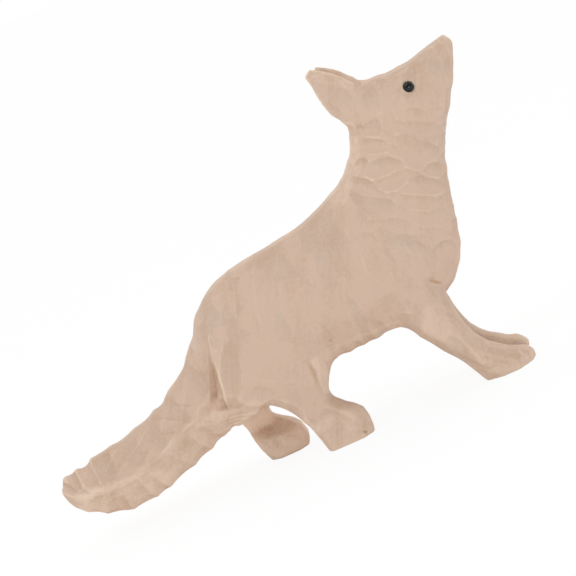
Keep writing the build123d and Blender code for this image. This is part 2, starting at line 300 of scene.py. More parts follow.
# Long shallow channels that a wide gouge left side by side: places along the middle of each in
# the side view, width and depth.
CHANNELS = [
    ([(-60, 20), (-62.5, 17.5), (-64.5, 16.5)], 4.5, 0.35),
    ([(-51.5, 22), (-54.5, 19.5), (-58.5, 17)], 5.5, 0.50),
    ([(-43.5, 22.5), (-48, 19.8), (-52.5, 17.5)], 5, 0.50),
    ([(-35.5, 26), (-39.5, 21.5), (-43, 19), (-46, 17.5)], 5.2, 0.50),
    ([(-29.5, 28.5), (-32.5, 24), (-35, 21.5), (-38, 19.3)], 5.2, 0.45),
    ([(-24, 31), (-26.5, 26.5), (-29.5, 22.3)], 5, 0.40),
    ([(-18.5, 37), (-21, 30), (-22.5, 27)], 5, 0.30),
    ([(-24, 16), (-27.5, 12)], 5, 0.16),
    ([(-30, 15.5), (-33.5, 10.5)], 6.5, 0.20),
    ([(-36, 13), (-39.5, 8)], 5.5, 0.20),
    ([(-42, 11.5), (-44.5, 7.5)], 4.5, 0.16),
    ([(-47.5, 11), (-50, 6.5)], 5.5, 0.20),
    ([(-53, 11), (-55.5, 7.5)], 6, 0.20),
    ([(-59, 11.5), (-61, 9)], 5.5, 0.20),
    ([(-63.5, 13), (-65, 12)], 4, 0.20),
    ([(22.5, 50.5), (23.5, 43), (23, 34)], 6, 0.26),
    ([(28, 52), (29, 44), (28.5, 33)], 6, 0.26),
    ([(34, 47), (34.5, 38), (33.5, 27)], 6, 0.26),
    ([(40, 39), (40.5, 32), (40, 24)], 5.5, 0.26),
    ([(17, 50), (17.5, 42), (17, 33)], 6.5, 0.22),
    ([(10.5, 50), (9, 42), (7.5, 34)], 6.5, 0.22),
    ([(4, 49), (1.5, 42), (0, 35)], 6, 0.22),
    ([(-2.5, 48), (-5, 41), (-6.5, 35)], 5.5, 0.26),
    ([(-8, 46.5), (-10.5, 39.5), (-12, 33)], 5, 0.26),
    ([(-12.5, 43), (-15, 37)], 4, 0.26),
]

# How far off a look at the wood starts, from the sides and from all round.
BESIDE_THE_FIGURE = 60.0
ROUND_THE_FIGURE = 120.0


def wood_surface(mesh, points):
    """The figure's surface, to find places on it."""
    return BVHTree.FromPolygons(points.tolist(), [polygon.vertices[:] for polygon in mesh.polygons])


def from_side(surface, x, z, side):
    """Where a line straight across the figure first meets the wood from one side."""
    return surface.ray_cast(Vector((x, side * BESIDE_THE_FIGURE, z)), Vector((0, -side, 0)))[0]


def laid_on_wood(surface, points, line, side, reach):
    """A side-view line's places on the wood of one side, and each point's distance, up to a reach."""
    places = [from_side(surface, x, z, side) for x, z in line]
    places = [np.array(place) for place in places if place]
    distance = np.full(len(points), reach)
    for start, end in zip(places, places[1:]):
        distance = np.minimum(distance, line_distance(points, start, end))
    return places, distance


def line_lift(surface, points, lines):
    """The height of the lines' slopes at each point, lower towards the ends of each line."""
    lift = np.zeros(len(points))
    for line, height, width, sides in lines:
        for side in sides:
            places, distance = laid_on_wood(surface, points, line, side, width)
            to_end = np.minimum(*(np.linalg.norm(points - places[end], axis=1) for end in (0, -1)))
            ends = END_HEIGHT + (1 - END_HEIGHT) * fade(to_end, 0, END_LENGTH)
            lift += height * (1 - distance / width) * ends
    return lift


def channel_depth(surface, points):
    """How deep the deepest channel is at each point."""
    depth = np.zeros(len(points))
    for line, width, deep in CHANNELS:
        for side in BOTH:
            distance = laid_on_wood(surface, points, line, side, width)[1]
            depth = np.maximum(depth, deep * (1 - (distance / width * 2) ** 2))
    return depth


surface = wood_surface(fox.data, points)
lift = line_lift(surface, points, RIDGES)
points = points + point_normals(fox.data) * lift[:, None]
write_points(fox.data, points)
surface = wood_surface(fox.data, points)
points = points - point_normals(fox.data) * channel_depth(surface, points)[:, None]
write_points(fox.data, points)

# Wedges that the knife cut out with two strokes: a floor that sinks, to its deepest halfway
# down, towards a straight wall. The long ones lie under the hips, between thigh and tail; the
# shallow ones are ends of long knife strokes on the trunk. Each: both ends of the wall in the
# side view, width at each end, depth, and the sides that have it.
WEDGES = [
    ((-16.2, 39.0), (-19.3, 19.6), 0.2, 5.2, 2.6, BOTH),
    ((-5.5, 5.0), (-17.0, 6.2), 3.6, 5.8, 1.1, (NEAR,)),
    ((27.5, 50.0), (26.0, 37.0), 1.2, 2.6, 0.22, BOTH),
    ((20.0, 45.0), (17.0, 26.0), 1.2, 3.0, 0.22, BOTH),
    ((33.5, 39.5), (32.0, 26.5), 1.2, 2.6, 0.22, BOTH),
    ((40.0, 38.0), (40.0, 30.0), 1.2, 2.2, 0.20, BOTH),
    ((7.5, 39.0), (5.0, 27.0), 1.2, 2.6, 0.18, BOTH),
]
WALL_LEAN = 0.8
WEDGE_SOFTENING_STEPS = 3
# Where the hip wedge runs out on the tail, softened again: both ends of a line and its reach.
WEDGE_FOOT = ((-24.0, 17.4), (-19.5, 16.4), 2.2)
FOOT_SOFTENING_STEPS = 60


def with_wedges(mesh, points):
    """Points with the floor of each wedge cut in beside its wall, and how far each one sank."""
    normals = point_normals(mesh)
    sunk = np.zeros(len(points))
    moved = points.copy()
    for top, foot, width_at_top, width_at_foot, depth, sides in WEDGES:
        line = np.subtract(foot, top)
        length = np.linalg.norm(line)
        along = line / length
        flat = points[:, [0, 2]] - top
        down = flat @ along / length
        beside = flat @ (along[1], -along[0])
        share = 1 - beside / (width_at_top + (width_at_foot - width_at_top) * np.clip(down, 0, 1))
        share = np.clip(share, 0, 1) * fade(beside, 0, WALL_LEAN)
        # Full depth from 0.6 of the way down, half of it at the foot, and then an abrupt end.
        profile = fade(down, 0, 0.6) * (1 - 0.5 * fade(down, 0.7, 1)) * np.clip((1 - down) * 30, 0, 1)
        for side in sides:
            # Only wood that looks to this side, no more than 6 to 9 mm in from the wall's middle.
            seen = from_side(surface, *np.add(top, foot) / 2, side)
            here = fade(np.abs(points[:, 1] - seen[1]), 9, 6) * fade(normals[:, 1] * side, -0.1, 0.4)
            sink = depth * profile * share * here
            moved[:, 1] -= side * sink
            sunk = np.maximum(sunk, sink)
    return moved, sunk


surface = wood_surface(fox.data, points)
points, sunk = with_wedges(fox.data, points)
points = softened(points, edges, WEDGE_SOFTENING_STEPS, STEP_STRENGTH * fade(sunk, 0.1, 0.4))
points = softened(points, edges, FOOT_SOFTENING_STEPS, STEP_STRENGTH * near_lines(points, [WEDGE_FOOT]))
write_points(fox.data, points)

# Gouge cuts that the photograph shows one by one on the near side: both ends in
# the side view (x, z, x, z), width and depth. The far side has the like, not the same: its cuts
# are shifted by chance. A slip is a nick on the near side only.
NECK_CUTS = [
    (37, 66, 43, 63.5, 3.5, 0.60),
    (36, 63.5, 44.5, 60, 2, 0.30),
    (34, 62, 37, 61.5, 3, 0.50),
    (36.5, 60, 44, 58, 4.5, 0.75),
    (36.5, 55.5, 44.5, 55.5, 4, 0.70),
    (31.5, 59, 37.5, 52, 4, 0.70),
    (49.5, 66, 56.5, 60.5, 4.2, 0.26),
    (47, 63, 49.5, 55.5, 5.5, 0.60),
    (51, 60, 54.5, 55, 3, 0.45),
    (49, 54, 54, 52, 3.5, 0.55),
    (44.5, 53.5, 52.5, 48, 3.5, 0.55),
    (43.5, 63.5, 45.5, 59, 3.5, 0.35),
    (31.5, 56, 37.5, 49.5, 5, 0.60),
    (41.5, 53, 51.5, 48, 3, 0.32),
    (40, 50.5, 50.5, 44, 3.5, 0.38),
    (40, 46.5, 50, 40, 3.5, 0.34),
    (32.5, 47.5, 42.5, 42, 3.5, 0.24),
    (42.5, 41, 49.5, 36.5, 3.5, 0.20),
    (32, 43.5, 40.5, 39, 3.5, 0.18),
]
HEAD_CUTS = [
    (44.5, 77.5, 43.5, 72.5, 4, 0.18),
    (50, 77.5, 46.5, 72, 3.5, 0.20),
    (46.5, 70, 44.5, 65, 3, 0.28),
    (42.5, 70, 41, 67, 3.5, 0.25),
    (39, 70, 38.5, 68, 2.5, 0.20),
    (59, 75.5, 58, 70.5, 4.5, 0.20),
    (58, 77.5, 59, 76, 3.5, 0.20),
    (61.5, 77.5, 61.5, 74, 4, 0.20),
    (64.5, 79.5, 64, 76.5, 3.5, 0.18),
    (62.5, 72.5, 60, 66.5, 2.5, 0.20),
    (65.5, 77, 63.5, 72.5, 2.5, 0.20),
    (50.5, 78.5, 55, 78.5, 2.5, 0.18),
    (56.5, 79, 62, 80, 2.5, 0.18),
    (35, 78, 38.5, 73.5, 3.5, 0.14),
]
EAR_CUTS = [
    (34.5, 84, 37.5, 77, 4.5, 0.22),
    (36.5, 81, 38.5, 74.5, 4, 0.18),
    (34, 79, 36.5, 73, 3.5, 0.15),
]
LEG_CUTS = [
    (-12.5, 34, -17.5, 22, 4, 0.45),
    (-7.5, 36.5, -10, 32.5, 3.5, 0.15),
    (-11, 21, -8, 16.5, 4.5, 0.20),
    (8.5, 24, 7, 17, 3, 0.35),
    (6, 16, 7, 11, 2.5, 0.30),
    (8, 9.5, 12, 7, 3, 0.30),
    (-14.5, 12, -11, 11, 4, 0.40),
    (-14, 4, -13.5, 1.5, 3, 0.30),
    (-10, 4, -8.5, 1.5, 3, 0.35),
    (41, 24.5, 42.5, 17, 2.5, 0.15),
    (41, 13, 45, 6, 3, 0.16),
    (44, 7.5, 51.5, 2, 3.5, 0.20),
    (38, 14, 41, 5, 3, 0.18),
    (53.5, 3.5, 54.5, 1, 2, 0.30),
]
SLIPS = [
    (9, 1.5, 10, 0.5, 0.8, 0.50),
    (10.5, 25.5, 11, 25, 0.7, 0.25),
]

# A cut reaches past the bright floor that shows: its length and width times these, and a share
# of its width more at the ends. It is cut deeper than it looks, and the far side's are shifted.
LONGER = 1.2
END_SHARE = 0.6
WIDER = 1.45
DEEPER = 1.3
FAR_SHIFT = 0.9

# Cuts across the figure's edge that notch its outline: the direction they are seen from, the
# place along the outline (x, or z for those from the front and back), width and depth, and the
# length of one that is short.
BELOW = (0, -1)
ABOVE = (0, 1)
AHEAD = (1, 0)
BEHIND = (-1, 0)
OUTLINE_CUTS = [
    (BELOW, -26, 4.5, 0.40), (BELOW, -31, 6, 0.45), (BELOW, -38, 8, 0.50), (BELOW, -44, 4, 0.35),
    (BELOW, -49.5, 7, 0.50), (BELOW, -56.5, 7, 0.50), (BELOW, -62, 5, 0.40),
    (BELOW, 12, 4, 0.30), (BELOW, 16, 4, 0.35), (BELOW, 19.5, 4, 0.30), (BELOW, 23.5, 4, 0.30),
    (ABOVE, -15.5, 7, 0.25), (ABOVE, -20.5, 8, 0.30), (ABOVE, -28, 9, 0.35), (ABOVE, -35, 6, 0.30),
    (ABOVE, -41, 6, 0.30), (ABOVE, -48, 6.5, 0.30), (ABOVE, -55, 6, 0.35), (ABOVE, -60, 4.5, 0.50),
    (ABOVE, -64, 3.5, 0.60), (BEHIND, 17.5, 3, 0.50),
    (ABOVE, -9, 7, 0.15), (ABOVE, -3, 6, 0.18), (ABOVE, 4, 8, 0.15), (ABOVE, 12, 7, 0.18),
    (ABOVE, 19, 8, 0.15), (ABOVE, 51, 6, 0.20), (ABOVE, 57, 6, 0.20),
    (AHEAD, 73, 5.5, 0.18), (AHEAD, 68, 5, 0.25), (AHEAD, 63, 5, 0.30), (AHEAD, 58.5, 4.5, 0.30),
    (AHEAD, 54, 4.5, 0.35), (AHEAD, 49.5, 4.5, 0.35), (AHEAD, 45, 4.5, 0.35), (AHEAD, 40.5, 4.5, 0.35),
    (AHEAD, 36.5, 3.5, 0.30), (AHEAD, 32, 5, 0.20),
    (BEHIND, 66, 4.5, 0.22), (BEHIND, 62, 4, 0.22), (BEHIND, 58, 4.5, 0.25),
    (BELOW, -20.4, 3.6, 0.90, 13), (BEHIND, 72.8, 4.8, 0.75), (ABOVE, 42.4, 3.2, 0.30),
]
OUTLINE_CUT_LENGTH = 30.0

# Everywhere else cuts lie side by side. Each kind: the middle line of its region in the side
# view and its reach, then the cuts' length, width, depth and slope in degrees.
CUT_KINDS = [
    ((18, 34), (32, 34), 12, 13, 4.8, 0.07, 94),
    ((-4, 36), (2, 30), 12, 11, 4.6, 0.07, 84),
    ((-12, 45), (30, 52), 6, 9, 4.2, 0.12, 66),
    ((38, 45), (46, 62), 11, 8, 3.8, 0.30, -25),
    ((42, 72), (62, 76), 8, 6, 3.6, 0.15, 70),
    ((30, 84), (40, 76), 6, 5, 3.0, 0.06, 126),
    ((-20, 30), (-8, 28), 7, 9, 4.2, 0.08, 66),
    ((-24, 16), (-8, 20), 5, 7, 3.0, 0.07, 20),
    ((-30, 22), (-66, 16), 12, 4, 3.4, 0.04, -5),
    ((0, 14), (8, 3), 8, 7, 4.0, 0.10, 60),
    ((-12, 14), (-12, 3), 8, 5, 3.6, 0.12, 70),
    ((38, 24), (42, 8), 8, 10, 3.6, 0.10, -60),
    ((42, 6), (56, 2), 6, 5, 3.2, 0.14, -20),
]
CUT_SPACING = 3.1
CUT_TRIES = 9000
# The hand's scatter from cut to cut: slope in degrees, lean across a narrow edge, size and depth.
SLOPE_SCATTER = 10
LEAN_SCATTER = 0.5
NARROW_EDGE = 0.5
SIZE_SCATTER = (0.9, 1.2)
DEPTH_SCATTER = (0.7, 1.2)
# A spot counts as cut already where a cut on the same side and level covers it well.
SAME_FACING = 0.4
SAME_LEVEL = 3
WELL_INSIDE = 0.55
# Wood below this height that looks down more than this is sole, and is left flat.
SOLE_TOP = 0.6
SOLE_TILT = 0.7
# How squarely wood has to look out of a cut, from where it is spared to where it is cut in full.
CUT_FACING = (0.15, 0.6)
CARVING_SEED = 11
OUTWARD_STEPS = 14

chance = np.random.default_rng(CARVING_SEED)
surface = wood_surface(fox.data, points)
outward = softened(point_normals(fox.data), edges, OUTWARD_STEPS, np.full(len(points), STEP_STRENGTH))
outward /= np.linalg.norm(outward, axis=1, keepdims=True)


def cut_row(middle, normal, along, length, width, depth):
    """One gouge cut as numbers: middle, outward normal, direction, half length, half width, depth."""
    along = along - normal * (along @ normal)
    return [*middle, *normal, *(along / np.linalg.norm(along)), length / 2, width / 2, depth]


def seen_cut(x1, z1, x2, z2, width, depth, side):
    """A cut between two places in the side view, a little longer than its bright floor."""
    middle = from_side(surface, (x1 + x2) / 2, (z1 + z2) / 2, side)
    if not middle:
        return None
    nearest = np.argmin(((points - np.array(middle)) ** 2).sum(1))
    along = np.array([x2 - x1, 0.0, z2 - z1])
    length = np.linalg.norm(along) * LONGER + width * END_SHARE
    return cut_row(middle, outward[nearest], along, length, width * WIDER, depth * DEEPER)


def outline_cut(seen_from, place, width, depth, length=OUTLINE_CUT_LENGTH):
    """A cut straight across the figure's edge, found a hair beside its middle plane."""
    direction = Vector((seen_from[0], 0, seen_from[1]))
    outline = Vector((abs(seen_from[1]), 0, abs(seen_from[0])))
    start = direction * ROUND_THE_FIGURE + outline * place + Vector((0, 0.1, 0))
    middle = surface.ray_cast(start, -direction)[0]
    nearest = np.argmin(((points - np.array(middle)) ** 2).sum(1))
    normal = outward[nearest] * (1, 0, 1)
    normal = normal / np.linalg.norm(normal)
    return cut_row(middle, normal, np.array([0.0, 1.0, 0.0]), length, width, depth)


def seen_cuts():
    """The cuts listed one by one, and the near side's again on the far side, shifted by chance."""
    rows = [outline_cut(*place) for place in OUTLINE_CUTS]
    for place in NECK_CUTS + HEAD_CUTS + EAR_CUTS + LEG_CUTS:
        rows.append(seen_cut(*place, NEAR))
        shift = np.array([*chance.normal(0, FAR_SHIFT, 4), 0, 0])
        rows.append(seen_cut(*(np.array(place) + shift), FAR))
    rows += [seen_cut(*place, NEAR) for place in SLIPS]
    return [row for row in rows if row]


def already_cut(point, normal, table):
    """True well inside a cut of the table."""
    offset = point - table[:, 0:3]
    across = np.cross(table[:, 3:6], table[:, 6:9])
    u = (offset * table[:, 6:9]).sum(1) / table[:, 9]
    v = (offset * across).sum(1) / table[:, 10]
    height = (offset * table[:, 3:6]).sum(1)
    facing = table[:, 3:6] @ normal > SAME_FACING
    return (facing & (np.abs(height) < SAME_LEVEL) & (u * u + v * v < WELL_INSIDE)).any()


def filling_cuts(table):
    """Cuts side by side wherever the table has none, except on the flat soles."""
    rows = []
    taken = np.full((1, 3), 1e3)
    for index in chance.permutation(len(points))[:CUT_TRIES]:
        point, normal = points[index], outward[index]
        if point[2] < SOLE_TOP and normal[2] < -SOLE_TILT:
            continue
        if ((taken - point) ** 2).sum(1).min() < CUT_SPACING ** 2 or already_cut(point, normal, table):
            continue
        taken = np.vstack([taken, point])
        place = point[None, [0, 2]]
        nearest = min(CUT_KINDS, key=lambda kind: line_distance(place, kind[0], kind[1])[0] / kind[2])
        length, width, depth, slope = nearest[3:]
        slope = math.radians(slope + chance.normal(0, SLOPE_SCATTER))
        sideways = chance.normal(0, LEAN_SCATTER) if abs(normal[1]) < NARROW_EDGE else 0.0
        along = np.array([math.cos(slope), sideways, math.sin(slope)])
        size = chance.uniform(*SIZE_SCATTER)
        depth *= chance.uniform(*DEPTH_SCATTER)
        rows.append(cut_row(point, normal, along, length * size, width * size, depth))
    return rows


def carved(points, table):
    """Depth that the cuts take away at each point, and the number of the cut that reaches deepest."""
    deepest = np.zeros(len(points))
    winner = np.full(len(points), len(table))
    order = np.argsort(points[:, 0])
    ordered = points[order, 0]
    for number, row in enumerate(table):
        middle, normal, along = row[0:3], row[3:6], row[6:9]
        half_length, half_width, depth = row[9:12]
        first, last = np.searchsorted(ordered, (middle[0] - half_length, middle[0] + half_length))
        group = order[first:last]
        offset = points[group] - middle
        u = offset @ along / half_length
        v = offset @ np.cross(normal, along) / half_width
        facing = fade(outward[group] @ normal, *CUT_FACING) * (np.abs(offset @ normal) < half_length)
        cut = facing * depth * (1 - u * u - v * v)
        deeper = cut > deepest[group]
        winner[group[deeper]] = number
        deepest[group[deeper]] = cut[deeper]
    return deepest, winner


cut_table = np.array(seen_cuts())
cut_table = np.vstack([cut_table, filling_cuts(cut_table)])
depths, winners = carved(points, cut_table)

# Nothing is cut at the eyes' sockets or off the flat soles. The socket's wood: the distance from
# the eye up to which it has no cuts, and from which it has them in full.
SOCKET_WOOD = (1.7, 2.6)
SOLE_FACING = (0.8, 0.95)
SOLE_HEIGHT = 0.8
eye_middle = np.mean(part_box("right_eye_bead"), axis=0) / MM
from_eye = np.linalg.norm(np.abs(points) - np.abs(eye_middle), axis=1)
depths *= fade(from_eye, *SOCKET_WOOD)
depths *= 1 - fade(-outward[:, 2], *SOLE_FACING) * (points[:, 2] < SOLE_HEIGHT)
creases = line_lift(surface, points, CREASES)
depths += creases
points = points - point_normals(fox.data) * depths[:, None]
points[:, 2] = np.maximum(points[:, 2], 0)

# The wood closes over the beads' edges where they were pressed into their holes: how far, between
# which distances from the line through both eyes, and how far out from the head's middle.
LIP = 0.22
LIP_REACH = (2.6, 1.6)
LIP_START = 3
from_axis = points[:, [0, 2]] - eye_middle[[0, 2]]
radius = np.linalg.norm(from_axis, axis=1)
closing = LIP * fade(radius, *LIP_REACH) * (np.abs(points[:, 1]) > LIP_START)
points[:, [0, 2]] -= from_axis / np.maximum(radius, 0.1)[:, None] * closing[:, None]
write_points(fox.data, points)

# What the wood's colour reads at each point: its grain and tone, painted shade and painted
# light. The fibres lean forward from upright by some degrees, and the figure is left with this
# many triangles.
GRAIN_LEAN = 24.0
FINISHED_FACES = 196000
# Wedge floors get painted shade like shallow creases, more the deeper they sank.
WEDGE_SHADE = 0.05
WEDGE_SHADE_DEPTH = (0.1, 1.2)
# Places lightened by painted light, in shaded recesses and low faces and on edges that catch
# light: both ends in the side view, reach and amount.
PAINTED_LIGHT_PLACES = [
    ((-24.0, 14.0), (-34.0, 11.5), 6.8, 0.5),
    ((-34.0, 10.5), (-44.0, 8.5), 6.0, 0.5),
    ((-44.0, 8.5), (-62.0, 9.5), 5.6, 0.75),
    ((36.5, 71.0), (34.0, 62.5), 1.8, 0.35),
    ((34.0, 62.5), (27.0, 56.5), 2.2, 0.3),
    ((-15.0, 9.0), (-9.0, 3.0), 9.0, 0.9),
    ((2.0, 4.0), (9.0, 3.0), 5.0, 0.45),
    ((46.0, 6.0), (55.0, 3.0), 5.0, 0.3),
    ((36.0, 20.0), (45.0, 10.0), 4.0, 0.3),
    ((-24.0, 15.0), (-13.5, 17.5), 3.0, 0.4),
    ((5.8, 22.0), (5.6, 15.0), 1.7, 0.5),
    ((8.0, 22.5), (27.0, 21.5), 1.6, 0.4),
    ((34.0, 86.0), (41.3, 80.4), 1.3, 0.4),
]
# The shares of its reach between which a place's painted light fades out.
PAINTED_LIGHT_EDGE = (1.1, 0.8)
SHARPNESS_STEPS = 2
SHARPNESS_STRENGTH = 0.6


def sharpness(points, edges, normals):
    """How far each point stands above its neighbours, in millimetres: ridges +, hollows -."""
    lower = softened(points, edges, SHARPNESS_STEPS, np.full(len(points), SHARPNESS_STRENGTH))
    return ((points - lower) * normals).sum(1)


def painted_light_share(points):
    """How much painted light lightens the wood at each point, 0 to 1."""
    pale = np.zeros(len(points))
    for start, end, reach, amount in PAINTED_LIGHT_PLACES:
        distance = line_distance(points[:, [0, 2]], start, end)
        pale = np.maximum(pale, amount * fade(distance, reach * PAINTED_LIGHT_EDGE[0], reach * PAINTED_LIGHT_EDGE[1]))
    return pale


def keep_values(mesh, name, values):
    """Stores a number for each point, for the material to read."""
    mesh.attributes.new(name, "FLOAT", "POINT").data.foreach_set("value", values.astype(np.float32))


def with_fewer_faces(piece, faces):
    """Thins a piece's mesh out to a number of triangles."""
    piece.data.calc_loop_triangles()
    share = faces / len(piece.data.loop_triangles)
    if share < 1:
        fewer = piece.modifiers.new("fewer_faces", "DECIMATE")
        fewer.ratio = share
        mesh = evaluated_mesh(piece, piece.name)
        piece.modifiers.clear()
        piece.data = mesh


normals = point_normals(fox.data)
sharp = sharpness(points, edges, normals)[:, None]
sharp = softened(sharp, edges, 1, np.full(len(points), STEP_STRENGTH))[:, 0]
grain = np.array([math.sin(math.radians(GRAIN_LEAN)), 0, math.cos(math.radians(GRAIN_LEAN))])
# Painted highlight: wood that stands above its neighbours, on the ridges between cuts, is lightened.
keep_values(fox.data, "painted_ridge_highlight", np.clip(sharp, 0, None))
# Painted shade: points that sit below their neighbours, in hollows, are darkened.
keep_values(fox.data, "hollow", np.clip(-sharp, 0, None))
tones = np.append(chance.uniform(-1, 1, len(cut_table)), 0)
keep_values(fox.data, "tone", tones[winners] * (1 - painted_light_share(points)))
keep_values(fox.data, "end_grain", (normals @ grain) ** 2)
# Painted light on places that fall into shade and on edges that catch light.
keep_values(fox.data, "painted_light", painted_light_share(points))
# Painted shade: facets that look further down than the surface round them, as on the upper side of each
# scoop, are darkened and cooled.
keep_values(fox.data, "painted_facet_shade", (outward - normals) @ grain)
# Painted shade in creases and on wedge floors, by their depth.
keep_values(fox.data, "painted_crease_shade", creases + WEDGE_SHADE * fade(sunk, *WEDGE_SHADE_DEPTH))
with_fewer_faces(fox, FINISHED_FACES)
fox.data.polygons.foreach_set("use_smooth", [True] * len(fox.data.polygons))


# Bare linden, cut with an edge tool: pale and pinkish, almost without figure. Fine fibres run
# up the figure and cuts across them are a shade darker. The thin ridges between cuts get a
# painted highlight.
# Real fibres and pores are some ten times finer; these are drawn as coarse as they need to show.
FIBRE_WIDTH = 0.35
FIBRE_LENGTH = 9.0
FLECK_WIDTH = 0.22
FLECK_LENGTH = 1.6
RING_WIDTH = 3.2
RING_LENGTH = 60.0
PATCH_SIZE = 22.0
MOTTLE_SIZE = 0.8
BUMP_HEIGHT = 0.05
LINDEN = "#cfb4a0"
LINDEN_DARK = "#bf9f85"
LINDEN_COOL = "#c9b5a6"
# Colour of the painted highlight on the ridges between cuts.
RIDGE_HIGHLIGHT_COLOUR = "#ddc5ad"
# Colour of the painted light on places in shade.
PAINTED_LIGHT_LINDEN = "#e4ccb8"


def linear(hex_colour):
    """An sRGB hex colour as linear red, green, blue and alpha."""
    channels = [int(hex_colour[i:i + 2], 16) / 255 for i in (1, 3, 5)]
    return [c / 12.92 if c <= 0.04045 else ((c + 0.055) / 1.055) ** 2.4 for c in channels] + [1.0]


def node(tree, kind, settings, inputs):
    """Adds a node, sets its properties, and gives its sockets values or links."""
    added = tree.nodes.new(kind)
    for name, value in settings.items():
        setattr(added, name, value)
    for name, value in inputs.items():
        if isinstance(value, bpy.types.NodeSocket):
            tree.links.new(value, added.inputs[name])
        else:
            added.inputs[name].default_value = value
    return added


def blank_material(name):
    """A new material and its empty node tree."""
    material = bpy.data.materials.new(name)
    material.use_nodes = True
    material.node_tree.nodes.clear()
    return material, material.node_tree


def weighted_sum(tree, start, parts):
    """A start, as a number or a pattern, and on top of it each pattern times its weight."""
    total = start
    for pattern, weight in parts:
        total = node(tree, "ShaderNodeMath", {"operation": "MULTIPLY_ADD"}, {
            0: pattern, 1: weight, 2: total}).outputs[0]
    return total


def knife_cut_linden():
    """Bare knife-cut linden: a soft, dull shine, no varnish, colour from how it was cut, and painted shade
    and light.
    """
    material, tree = blank_material("knife_cut_linden")
    place = node(tree, "ShaderNodeTexCoord", {}, {}).outputs["Object"]
    leaning = node(tree, "ShaderNodeMapping", {"vector_type": "TEXTURE"},
                   {"Vector": place, "Rotation": (0, math.radians(GRAIN_LEAN), 0)}).outputs[0]

    def streaks(width, length, detail):
        along = node(tree, "ShaderNodeMapping", {}, {
            "Vector": leaning, "Scale": (1 / (width * MM), 1 / (width * MM), 1 / (length * MM))})
        return node(tree, "ShaderNodeTexNoise", {}, {
            "Vector": along.outputs[0], "Scale": 1.0, "Detail": detail}).outputs["Fac"]

    fibres = streaks(FIBRE_WIDTH, FIBRE_LENGTH, 3.0)
    rings = streaks(RING_WIDTH, RING_LENGTH, 2.0)
    patches = node(tree, "ShaderNodeTexNoise", {}, {
        "Vector": place, "Scale": 1 / (PATCH_SIZE * MM)}).outputs["Fac"]
    mottle = node(tree, "ShaderNodeTexNoise", {}, {
        "Vector": place, "Scale": 1 / (MOTTLE_SIZE * MM), "Detail": 3.0}).outputs["Fac"]
    # Only the peaks of these streaks are flecks.
    flecks = node(tree, "ShaderNodeMath", {"operation": "MULTIPLY_ADD", "use_clamp": True}, {
        0: streaks(FLECK_WIDTH, FLECK_LENGTH, 1.0), 1: 7.0, 2: -4.8}).outputs[0]
    stored = {
        name: node(tree, "ShaderNodeAttribute", {"attribute_name": name}, {}).outputs["Fac"]
        for name in ("tone", "end_grain", "painted_facet_shade", "hollow", "painted_crease_shade", "painted_light", "painted_ridge_highlight")
    }
    # The starts take off about half of each noise's weight, since a noise is 0.5 on average.
    # Darker: grain, flecks, random tone and end grain, and painted shade on downward facets, in hollows
    # and in creases.
    dark = weighted_sum(tree, -1.4, [
        (fibres, 0.5), (rings, 1.0), (patches, 0.7), (mottle, 0.8), (flecks, 1.0),
        (stored["tone"], 0.22), (stored["end_grain"], 0.35), (stored["painted_facet_shade"], 1.6),
        (stored["hollow"], 5.0), (stored["painted_crease_shade"], 5.0),
    ])
    # Cooler grey: random patches and tone, and painted shade on facets that look downwards.
    cool = weighted_sum(tree, -0.9, [
        (patches, 2.0), (stored["painted_facet_shade"], 2.4), (stored["tone"], 0.5)])
    # Painted highlight along the ridges between cuts.
    ridge_highlight = weighted_sum(tree, -0.18, [(stored["painted_ridge_highlight"], 22.0)])
    wood = linear(LINDEN)
    for share, colour in (
        (cool, LINDEN_COOL), (stored["painted_light"], PAINTED_LIGHT_LINDEN), (dark, LINDEN_DARK), (ridge_highlight, RIDGE_HIGHLIGHT_COLOUR),
    ):
        wood = node(tree, "ShaderNodeMix", {"data_type": "RGBA"}, {
            0: share, 6: wood, 7: linear(colour)}).outputs[2]
    relief = weighted_sum(tree, fibres, [(mottle, 1.0), (flecks, -2.0)])
    bump = node(tree, "ShaderNodeBump", {}, {
        "Strength": 0.35, "Distance": BUMP_HEIGHT * MM, "Height": relief})
    shader = node(tree, "ShaderNodeBsdfPrincipled", {}, {
        "Base Color": wood, "Roughness": 0.66, "Normal": bump.outputs[0], "Specular IOR Level": 0.32})
    node(tree, "ShaderNodeOutputMaterial", {}, {"Surface": shader.outputs[0]})
    return material


fox.data.materials.clear()
fox.data.materials.append(knife_cut_linden())
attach(fox, "root")
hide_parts("carved_fox")


# Eyes. Black glass beads on wire stems, pushed and glued into holes drilled in the head. A bead
# is gathered on its wire in a flame: nearly round, flatter in front, with a short neck behind.
EYE_SEGMENTS = 48
GLASS_BLACK = "#060607"
HAZE_SIZE = 0.7
# Distance from the bead's axis and place along it, from its front to its neck, in half widths.
BEAD_PROFILE = [
    (0.00, 0.97), (0.22, 0.95), (0.43, 0.88), (0.62, 0.76), (0.77, 0.60), (0.88, 0.40), (0.93, 0.18),
    (0.94, -0.05), (0.91, -0.28), (0.83, -0.50), (0.70, -0.68), (0.52, -0.82), (0.34, -0.91),
    (0.22, -0.96), (0.20, -1.00), (0.00, -1.00),
]


def black_glass():
    """Lampworked glass: fire-polished and clear, with small highlights and a faint haze."""
    material, tree = blank_material("lampworked_black_glass")
    place = node(tree, "ShaderNodeTexCoord", {}, {}).outputs["Object"]
    haze = node(tree, "ShaderNodeTexNoise", {}, {
        "Vector": place, "Scale": 1 / (HAZE_SIZE * MM), "Detail": 2.0})
    polish = node(tree, "ShaderNodeMapRange", {}, {0: haze.outputs["Fac"], 3: 0.06, 4: 0.16})
    shader = node(tree, "ShaderNodeBsdfPrincipled", {}, {
        "Base Color": linear(GLASS_BLACK), "Roughness": polish.outputs[0], "Specular IOR Level": 0.40})
    node(tree, "ShaderNodeOutputMaterial", {}, {"Surface": shader.outputs[0]})
    return material


